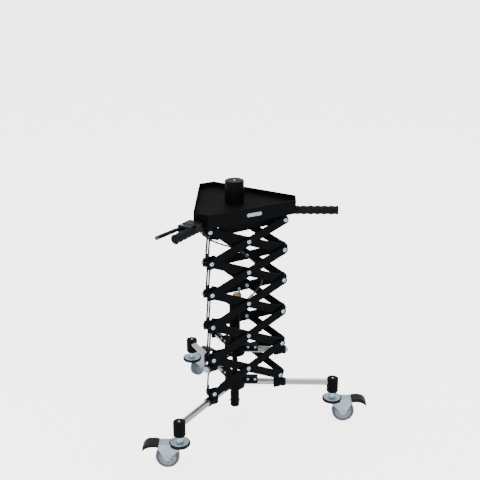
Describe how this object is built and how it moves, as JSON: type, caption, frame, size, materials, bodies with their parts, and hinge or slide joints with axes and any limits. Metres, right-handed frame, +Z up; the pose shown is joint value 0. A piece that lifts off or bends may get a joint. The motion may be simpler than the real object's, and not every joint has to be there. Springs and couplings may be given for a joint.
{
  "type": "sculpting turntable stand",
  "caption": "Wheeled tripod stand for sculpting: a three-sided scissor lift carries a clipped triangular tray with a turning spindle, side handles and a release lever.",
  "frame": {"origin": "on the floor, below the middle of the stand's outline; the lift's axis stands at x -0.0823, y -0.0377", "axes": "+Z up along the lift and the spindle; +X towards corner b, whose leg and handle point that way; corner c is at 120 degrees and corner a at 240 degrees seen from above"},
  "size_m": [0.7268, 0.7121, 0.8508],
  "materials": {
    "black_steel": "satin black powder coat",
    "gloss_black": "gloss black",
    "zinc_plate": "bright zinc plate",
    "grey_rubber": "matt grey rubber"
  },
  "bodies": {
    "base": {"base_spider": "black_steel"},
    "lift_hub": {"lift_spider": "black_steel"},
    "head": {"head_frame": "black_steel", "tray_pan": "black_steel"},
    "turntable": {"turntable_spindle": "gloss_black"},
    "lever": {"release_lever": "black_steel"},
    "leg_slider_b": {"leg_slider_b": "black_steel"},
    "lift_slider_b": {"lift_slider_b": "black_steel"},
    "head_slider_b": {"head_slider_b": "black_steel"},
    "corner_bracket_b_2": {"corner_bracket_b_2": "black_steel"},
    "corner_bracket_b_3": {"corner_bracket_b_3": "black_steel"},
    "corner_bracket_b_4": {"corner_bracket_b_4": "black_steel"},
    "leg_slider_c": {"leg_slider_c": "black_steel"},
    "lift_slider_c": {"lift_slider_c": "black_steel"},
    "head_slider_c": {"head_slider_c": "black_steel"},
    "corner_bracket_c_2": {"corner_bracket_c_2": "black_steel"},
    "corner_bracket_c_3": {"corner_bracket_c_3": "black_steel"},
    "corner_bracket_c_4": {"corner_bracket_c_4": "black_steel"},
    "leg_slider_a": {"leg_slider_a": "black_steel"},
    "lift_slider_a": {"lift_slider_a": "black_steel"},
    "head_slider_a": {"head_slider_a": "black_steel"},
    "corner_bracket_a_2": {"corner_bracket_a_2": "black_steel"},
    "corner_bracket_a_3": {"corner_bracket_a_3": "black_steel"},
    "corner_bracket_a_4": {"corner_bracket_a_4": "black_steel"},
    "bar_ab_up_1": {"bar_ab_up_1": "black_steel"},
    "bar_ab_down_1": {"bar_ab_down_1": "black_steel"},
    "bar_ab_up_2": {"bar_ab_up_2": "black_steel"},
    "bar_ab_down_2": {"bar_ab_down_2": "black_steel"},
    "bar_ab_up_3": {"bar_ab_up_3": "black_steel"},
    "bar_ab_down_3": {"bar_ab_down_3": "black_steel"},
    "bar_ab_up_4": {"bar_ab_up_4": "black_steel"},
    "bar_ab_down_4": {"bar_ab_down_4": "black_steel"},
    "bar_ab_up_5": {"bar_ab_up_5": "black_steel"},
    "bar_ab_down_5": {"bar_ab_down_5": "black_steel"},
    "bar_bc_up_1": {"bar_bc_up_1": "black_steel"},
    "bar_bc_down_1": {"bar_bc_down_1": "black_steel"},
    "bar_bc_up_2": {"bar_bc_up_2": "black_steel"},
    "bar_bc_down_2": {"bar_bc_down_2": "black_steel"},
    "bar_bc_up_3": {"bar_bc_up_3": "black_steel"},
    "bar_bc_down_3": {"bar_bc_down_3": "black_steel"},
    "bar_bc_up_4": {"bar_bc_up_4": "black_steel"},
    "bar_bc_down_4": {"bar_bc_down_4": "black_steel"},
    "bar_bc_up_5": {"bar_bc_up_5": "black_steel"},
    "bar_bc_down_5": {"bar_bc_down_5": "black_steel"},
    "bar_ca_up_1": {"bar_ca_up_1": "black_steel"},
    "bar_ca_down_1": {"bar_ca_down_1": "black_steel"},
    "bar_ca_up_2": {"bar_ca_up_2": "black_steel"},
    "bar_ca_down_2": {"bar_ca_down_2": "black_steel"},
    "bar_ca_up_3": {"bar_ca_up_3": "black_steel"},
    "bar_ca_down_3": {"bar_ca_down_3": "black_steel"},
    "bar_ca_up_4": {"bar_ca_up_4": "black_steel"},
    "bar_ca_down_4": {"bar_ca_down_4": "black_steel"},
    "bar_ca_up_5": {"bar_ca_up_5": "black_steel"},
    "bar_ca_down_5": {"bar_ca_down_5": "black_steel"},
    "caster_b": {"caster_fork_b": "zinc_plate"},
    "wheel_b": {"caster_wheel_b": "grey_rubber"},
    "caster_c": {"caster_fork_c": "zinc_plate"},
    "wheel_c": {"caster_wheel_c": "grey_rubber"},
    "caster_a": {"caster_fork_a": "zinc_plate"},
    "wheel_a": {"caster_wheel_a": "grey_rubber"}
  },
  "joints": [
    {"name": "lift", "type": "slide", "parent": "base", "child": "head", "axis": [0, 0, 1], "range_m": [-0.175, 0.175]},
    {"name": "lift_hub_slide", "type": "slide", "parent": "base", "child": "lift_hub", "axis": [0, 0, 1], "range_m": [-0.0357, 0.0357]},
    {"name": "leg_slider_b_slide", "type": "slide", "parent": "base", "child": "leg_slider_b", "axis": [1, 0, 0], "range_m": [-0.00983, 0.00983]},
    {"name": "lift_slider_b_slide", "type": "slide", "parent": "lift_hub", "child": "lift_slider_b", "axis": [1, 0, 0], "range_m": [-0.00957, 0.00957]},
    {"name": "head_slider_b_slide", "type": "slide", "parent": "head", "child": "head_slider_b", "axis": [1, 0, 0], "range_m": [-0.00792, 0.00792]},
    {"name": "corner_bracket_b_2_slide", "type": "slide", "parent": "base", "child": "corner_bracket_b_2", "axis": [-0.1254, 0, 0.9921], "range_m": [-0.07197, 0.07197]},
    {"name": "corner_bracket_b_3_slide", "type": "slide", "parent": "base", "child": "corner_bracket_b_3", "axis": [-0.079, 0, 0.9969], "range_m": [-0.10744, 0.10744]},
    {"name": "corner_bracket_b_4_slide", "type": "slide", "parent": "base", "child": "corner_bracket_b_4", "axis": [-0.0565, 0, 0.9984], "range_m": [-0.14303, 0.14303]},
    {"name": "leg_slider_c_slide", "type": "slide", "parent": "base", "child": "leg_slider_c", "axis": [-0.5, 0.866, 0], "range_m": [-0.00983, 0.00983]},
    {"name": "lift_slider_c_slide", "type": "slide", "parent": "lift_hub", "child": "lift_slider_c", "axis": [-0.5, 0.866, 0], "range_m": [-0.00957, 0.00957]},
    {"name": "head_slider_c_slide", "type": "slide", "parent": "head", "child": "head_slider_c", "axis": [-0.5, 0.866, 0], "range_m": [-0.00792, 0.00792]},
    {"name": "corner_bracket_c_2_slide", "type": "slide", "parent": "base", "child": "corner_bracket_c_2", "axis": [0.0627, -0.1086, 0.9921], "range_m": [-0.07197, 0.07197]},
    {"name": "corner_bracket_c_3_slide", "type": "slide", "parent": "base", "child": "corner_bracket_c_3", "axis": [0.0395, -0.0685, 0.9969], "range_m": [-0.10744, 0.10744]},
    {"name": "corner_bracket_c_4_slide", "type": "slide", "parent": "base", "child": "corner_bracket_c_4", "axis": [0.0282, -0.0489, 0.9984], "range_m": [-0.14303, 0.14303]},
    {"name": "leg_slider_a_slide", "type": "slide", "parent": "base", "child": "leg_slider_a", "axis": [-0.5, -0.866, 0], "range_m": [-0.00983, 0.00983]},
    {"name": "lift_slider_a_slide", "type": "slide", "parent": "lift_hub", "child": "lift_slider_a", "axis": [-0.5, -0.866, 0], "range_m": [-0.00957, 0.00957]},
    {"name": "head_slider_a_slide", "type": "slide", "parent": "head", "child": "head_slider_a", "axis": [-0.5, -0.866, 0], "range_m": [-0.00792, 0.00792]},
    {"name": "corner_bracket_a_2_slide", "type": "slide", "parent": "base", "child": "corner_bracket_a_2", "axis": [0.0627, 0.1086, 0.9921], "range_m": [-0.07197, 0.07197]},
    {"name": "corner_bracket_a_3_slide", "type": "slide", "parent": "base", "child": "corner_bracket_a_3", "axis": [0.0395, 0.0685, 0.9969], "range_m": [-0.10744, 0.10744]},
    {"name": "corner_bracket_a_4_slide", "type": "slide", "parent": "base", "child": "corner_bracket_a_4", "axis": [0.0282, 0.0489, 0.9984], "range_m": [-0.14303, 0.14303]},
    {"name": "bar_ab_up_1_hinge", "type": "hinge", "parent": "leg_slider_a", "child": "bar_ab_up_1", "pos_m": [-0.14956, -0.1726, 0.1756], "axis": [0.5, -0.866, 0], "range_deg": [-8.11, 8.11]},
    {"name": "bar_ab_down_1_hinge", "type": "hinge", "parent": "leg_slider_b", "child": "bar_ab_down_1", "pos_m": [0.06816, -0.0469, 0.1756], "axis": [0.5, -0.866, 0], "range_deg": [-8.11, 8.11]},
    {"name": "bar_ab_up_2_hinge", "type": "hinge", "parent": "lift_slider_a", "child": "bar_ab_up_2", "pos_m": [-0.15051, -0.17315, 0.29592], "axis": [0.5, -0.866, 0], "range_deg": [-8.03, 8.03]},
    {"name": "bar_ab_down_2_hinge", "type": "hinge", "parent": "lift_slider_b", "child": "bar_ab_down_2", "pos_m": [0.06911, -0.04635, 0.29592], "axis": [0.5, -0.866, 0], "range_deg": [-8.03, 8.03]},
    {"name": "bar_ab_up_3_hinge", "type": "hinge", "parent": "corner_bracket_a_2", "child": "bar_ab_up_3", "pos_m": [-0.15164, -0.1738, 0.41106], "axis": [0.5, -0.866, 0], "range_deg": [-7.95, 7.95]},
    {"name": "bar_ab_down_3_hinge", "type": "hinge", "parent": "corner_bracket_b_2", "child": "bar_ab_down_3", "pos_m": [0.07024, -0.0457, 0.41106], "axis": [0.5, -0.866, 0], "range_deg": [-7.95, 7.95]},
    {"name": "bar_ab_up_4_hinge", "type": "hinge", "parent": "corner_bracket_a_3", "child": "bar_ab_up_4", "pos_m": [-0.15276, -0.17445, 0.52026], "axis": [0.5, -0.866, 0], "range_deg": [-7.88, 7.88]},
    {"name": "bar_ab_down_4_hinge", "type": "hinge", "parent": "corner_bracket_b_3", "child": "bar_ab_down_4", "pos_m": [0.07136, -0.04505, 0.52026], "axis": [0.5, -0.866, 0], "range_deg": [-7.88, 7.88]},
    {"name": "bar_ab_up_5_hinge", "type": "hinge", "parent": "corner_bracket_a_4", "child": "bar_ab_up_5", "pos_m": [-0.15354, -0.1749, 0.62413], "axis": [0.5, -0.866, 0], "range_deg": [-7.84, 7.84]},
    {"name": "bar_ab_down_5_hinge", "type": "hinge", "parent": "corner_bracket_b_4", "child": "bar_ab_down_5", "pos_m": [0.07214, -0.0446, 0.62413], "axis": [0.5, -0.866, 0], "range_deg": [-7.84, 7.84]},
    {"name": "bar_bc_up_1_hinge", "type": "hinge", "parent": "leg_slider_b", "child": "bar_bc_up_1", "pos_m": [0.06816, -0.0285, 0.1756], "axis": [0.5, 0.866, 0], "range_deg": [-8.11, 8.11]},
    {"name": "bar_bc_down_1_hinge", "type": "hinge", "parent": "leg_slider_c", "child": "bar_bc_down_1", "pos_m": [-0.14956, 0.0972, 0.1756], "axis": [0.5, 0.866, 0], "range_deg": [-8.11, 8.11]},
    {"name": "bar_bc_up_2_hinge", "type": "hinge", "parent": "lift_slider_b", "child": "bar_bc_up_2", "pos_m": [0.06911, -0.02905, 0.29592], "axis": [0.5, 0.866, 0], "range_deg": [-8.03, 8.03]},
    {"name": "bar_bc_down_2_hinge", "type": "hinge", "parent": "lift_slider_c", "child": "bar_bc_down_2", "pos_m": [-0.15051, 0.09775, 0.29592], "axis": [0.5, 0.866, 0], "range_deg": [-8.03, 8.03]},
    {"name": "bar_bc_up_3_hinge", "type": "hinge", "parent": "corner_bracket_b_2", "child": "bar_bc_up_3", "pos_m": [0.07024, -0.0297, 0.41106], "axis": [0.5, 0.866, 0], "range_deg": [-7.95, 7.95]},
    {"name": "bar_bc_down_3_hinge", "type": "hinge", "parent": "corner_bracket_c_2", "child": "bar_bc_down_3", "pos_m": [-0.15164, 0.0984, 0.41106], "axis": [0.5, 0.866, 0], "range_deg": [-7.95, 7.95]},
    {"name": "bar_bc_up_4_hinge", "type": "hinge", "parent": "corner_bracket_b_3", "child": "bar_bc_up_4", "pos_m": [0.07136, -0.03035, 0.52026], "axis": [0.5, 0.866, 0], "range_deg": [-7.88, 7.88]},
    {"name": "bar_bc_down_4_hinge", "type": "hinge", "parent": "corner_bracket_c_3", "child": "bar_bc_down_4", "pos_m": [-0.15276, 0.09905, 0.52026], "axis": [0.5, 0.866, 0], "range_deg": [-7.88, 7.88]},
    {"name": "bar_bc_up_5_hinge", "type": "hinge", "parent": "corner_bracket_b_4", "child": "bar_bc_up_5", "pos_m": [0.07214, -0.0308, 0.62413], "axis": [0.5, 0.866, 0], "range_deg": [-7.84, 7.84]},
    {"name": "bar_bc_down_5_hinge", "type": "hinge", "parent": "corner_bracket_c_4", "child": "bar_bc_down_5", "pos_m": [-0.15354, 0.0995, 0.62413], "axis": [0.5, 0.866, 0], "range_deg": [-7.84, 7.84]},
    {"name": "bar_ca_up_1_hinge", "type": "hinge", "parent": "leg_slider_c", "child": "bar_ca_up_1", "pos_m": [-0.1655, 0.088, 0.1756], "axis": [-1, 0, 0], "range_deg": [-8.11, 8.11]},
    {"name": "bar_ca_down_1_hinge", "type": "hinge", "parent": "leg_slider_a", "child": "bar_ca_down_1", "pos_m": [-0.1655, -0.1634, 0.1756], "axis": [-1, 0, 0], "range_deg": [-8.11, 8.11]},
    {"name": "bar_ca_up_2_hinge", "type": "hinge", "parent": "lift_slider_c", "child": "bar_ca_up_2", "pos_m": [-0.1655, 0.0891, 0.29592], "axis": [-1, 0, 0], "range_deg": [-8.03, 8.03]},
    {"name": "bar_ca_down_2_hinge", "type": "hinge", "parent": "lift_slider_a", "child": "bar_ca_down_2", "pos_m": [-0.1655, -0.1645, 0.29592], "axis": [-1, 0, 0], "range_deg": [-8.03, 8.03]},
    {"name": "bar_ca_up_3_hinge", "type": "hinge", "parent": "corner_bracket_c_2", "child": "bar_ca_up_3", "pos_m": [-0.1655, 0.0904, 0.41106], "axis": [-1, 0, 0], "range_deg": [-7.95, 7.95]},
    {"name": "bar_ca_down_3_hinge", "type": "hinge", "parent": "corner_bracket_a_2", "child": "bar_ca_down_3", "pos_m": [-0.1655, -0.1658, 0.41106], "axis": [-1, 0, 0], "range_deg": [-7.95, 7.95]},
    {"name": "bar_ca_up_4_hinge", "type": "hinge", "parent": "corner_bracket_c_3", "child": "bar_ca_up_4", "pos_m": [-0.1655, 0.0917, 0.52026], "axis": [-1, 0, 0], "range_deg": [-7.88, 7.88]},
    {"name": "bar_ca_down_4_hinge", "type": "hinge", "parent": "corner_bracket_a_3", "child": "bar_ca_down_4", "pos_m": [-0.1655, -0.1671, 0.52026], "axis": [-1, 0, 0], "range_deg": [-7.88, 7.88]},
    {"name": "bar_ca_up_5_hinge", "type": "hinge", "parent": "corner_bracket_c_4", "child": "bar_ca_up_5", "pos_m": [-0.1655, 0.0926, 0.62413], "axis": [-1, 0, 0], "range_deg": [-7.84, 7.84]},
    {"name": "bar_ca_down_5_hinge", "type": "hinge", "parent": "corner_bracket_a_4", "child": "bar_ca_down_5", "pos_m": [-0.1655, -0.168, 0.62413], "axis": [-1, 0, 0], "range_deg": [-7.84, 7.84]},
    {"name": "turntable_spin", "type": "hinge", "parent": "head", "child": "turntable", "pos_m": [-0.0823, -0.0377, 0.8], "axis": [0, 0, 1], "continuous": true},
    {"name": "release_lever_squeeze", "type": "hinge", "parent": "head", "child": "lever", "pos_m": [-0.23148, -0.23909, 0.756], "axis": [0, 0, 1], "range_deg": [0, 8], "stiffness_Nm_per_rad": 0.6, "springref_deg": -14.32},
    {"name": "caster_b_swivel", "type": "hinge", "parent": "base", "child": "caster_b", "pos_m": [0.2469, -0.0377, 0.08], "axis": [0, 0, 1], "continuous": true},
    {"name": "wheel_b_roll", "type": "hinge", "parent": "caster_b", "child": "wheel_b", "pos_m": [0.2852, -0.0377, 0.0375], "axis": [0, -1, 0], "continuous": true},
    {"name": "caster_c_swivel", "type": "hinge", "parent": "base", "child": "caster_c", "pos_m": [-0.2469, 0.2474, 0.08], "axis": [0, 0, 1], "continuous": true},
    {"name": "wheel_c_roll", "type": "hinge", "parent": "caster_c", "child": "wheel_c", "pos_m": [-0.22604, 0.27952, 0.0375], "axis": [0.8387, -0.5446, 0], "continuous": true},
    {"name": "caster_a_swivel", "type": "hinge", "parent": "base", "child": "caster_a", "pos_m": [-0.2469, -0.3228, 0.08], "axis": [0, 0, 1], "continuous": true},
    {"name": "wheel_a_roll", "type": "hinge", "parent": "caster_a", "child": "wheel_a", "pos_m": [-0.2852, -0.3228, 0.0375], "axis": [0, 1, 0], "continuous": true}
  ],
  "couplings": [
    {"joint": "lift_hub_slide", "follows": "lift", "ratio": 0.2},
    {"joint": "leg_slider_b_slide", "follows": "lift", "ratio": -0.055021},
    {"joint": "lift_slider_b_slide", "follows": "lift", "ratio": -0.053591},
    {"joint": "head_slider_b_slide", "follows": "lift", "ratio": -0.044354},
    {"joint": "corner_bracket_b_2_slide", "follows": "lift", "ratio": 0.40318},
    {"joint": "corner_bracket_b_3_slide", "follows": "lift", "ratio": 0.60188},
    {"joint": "corner_bracket_b_4_slide", "follows": "lift", "ratio": 0.80128},
    {"joint": "leg_slider_c_slide", "follows": "lift", "ratio": -0.055021},
    {"joint": "lift_slider_c_slide", "follows": "lift", "ratio": -0.053591},
    {"joint": "head_slider_c_slide", "follows": "lift", "ratio": -0.044354},
    {"joint": "corner_bracket_c_2_slide", "follows": "lift", "ratio": 0.40318},
    {"joint": "corner_bracket_c_3_slide", "follows": "lift", "ratio": 0.60188},
    {"joint": "corner_bracket_c_4_slide", "follows": "lift", "ratio": 0.80128},
    {"joint": "leg_slider_a_slide", "follows": "lift", "ratio": -0.055021},
    {"joint": "lift_slider_a_slide", "follows": "lift", "ratio": -0.053591},
    {"joint": "head_slider_a_slide", "follows": "lift", "ratio": -0.044354},
    {"joint": "corner_bracket_a_2_slide", "follows": "lift", "ratio": 0.40318},
    {"joint": "corner_bracket_a_3_slide", "follows": "lift", "ratio": 0.60188},
    {"joint": "corner_bracket_a_4_slide", "follows": "lift", "ratio": 0.80128},
    {"joint": "bar_ab_up_1_hinge", "follows": "lift", "rad_per_m": 0.79208},
    {"joint": "bar_ab_down_1_hinge", "follows": "lift", "rad_per_m": -0.79208},
    {"joint": "bar_ab_up_2_hinge", "follows": "lift", "rad_per_m": 0.78462},
    {"joint": "bar_ab_down_2_hinge", "follows": "lift", "rad_per_m": -0.78462},
    {"joint": "bar_ab_up_3_hinge", "follows": "lift", "rad_per_m": 0.7767},
    {"joint": "bar_ab_down_3_hinge", "follows": "lift", "rad_per_m": -0.7767},
    {"joint": "bar_ab_up_4_hinge", "follows": "lift", "rad_per_m": 0.77012},
    {"joint": "bar_ab_down_4_hinge", "follows": "lift", "rad_per_m": -0.77012},
    {"joint": "bar_ab_up_5_hinge", "follows": "lift", "rad_per_m": 0.76599},
    {"joint": "bar_ab_down_5_hinge", "follows": "lift", "rad_per_m": -0.76599},
    {"joint": "bar_bc_up_1_hinge", "follows": "lift", "rad_per_m": 0.79208},
    {"joint": "bar_bc_down_1_hinge", "follows": "lift", "rad_per_m": -0.79208},
    {"joint": "bar_bc_up_2_hinge", "follows": "lift", "rad_per_m": 0.78462},
    {"joint": "bar_bc_down_2_hinge", "follows": "lift", "rad_per_m": -0.78462},
    {"joint": "bar_bc_up_3_hinge", "follows": "lift", "rad_per_m": 0.7767},
    {"joint": "bar_bc_down_3_hinge", "follows": "lift", "rad_per_m": -0.7767},
    {"joint": "bar_bc_up_4_hinge", "follows": "lift", "rad_per_m": 0.77012},
    {"joint": "bar_bc_down_4_hinge", "follows": "lift", "rad_per_m": -0.77012},
    {"joint": "bar_bc_up_5_hinge", "follows": "lift", "rad_per_m": 0.76599},
    {"joint": "bar_bc_down_5_hinge", "follows": "lift", "rad_per_m": -0.76599},
    {"joint": "bar_ca_up_1_hinge", "follows": "lift", "rad_per_m": 0.79208},
    {"joint": "bar_ca_down_1_hinge", "follows": "lift", "rad_per_m": -0.79208},
    {"joint": "bar_ca_up_2_hinge", "follows": "lift", "rad_per_m": 0.78462},
    {"joint": "bar_ca_down_2_hinge", "follows": "lift", "rad_per_m": -0.78462},
    {"joint": "bar_ca_up_3_hinge", "follows": "lift", "rad_per_m": 0.7767},
    {"joint": "bar_ca_down_3_hinge", "follows": "lift", "rad_per_m": -0.7767},
    {"joint": "bar_ca_up_4_hinge", "follows": "lift", "rad_per_m": 0.77012},
    {"joint": "bar_ca_down_4_hinge", "follows": "lift", "rad_per_m": -0.77012},
    {"joint": "bar_ca_up_5_hinge", "follows": "lift", "rad_per_m": 0.76599},
    {"joint": "bar_ca_down_5_hinge", "follows": "lift", "rad_per_m": -0.76599}
  ]
}
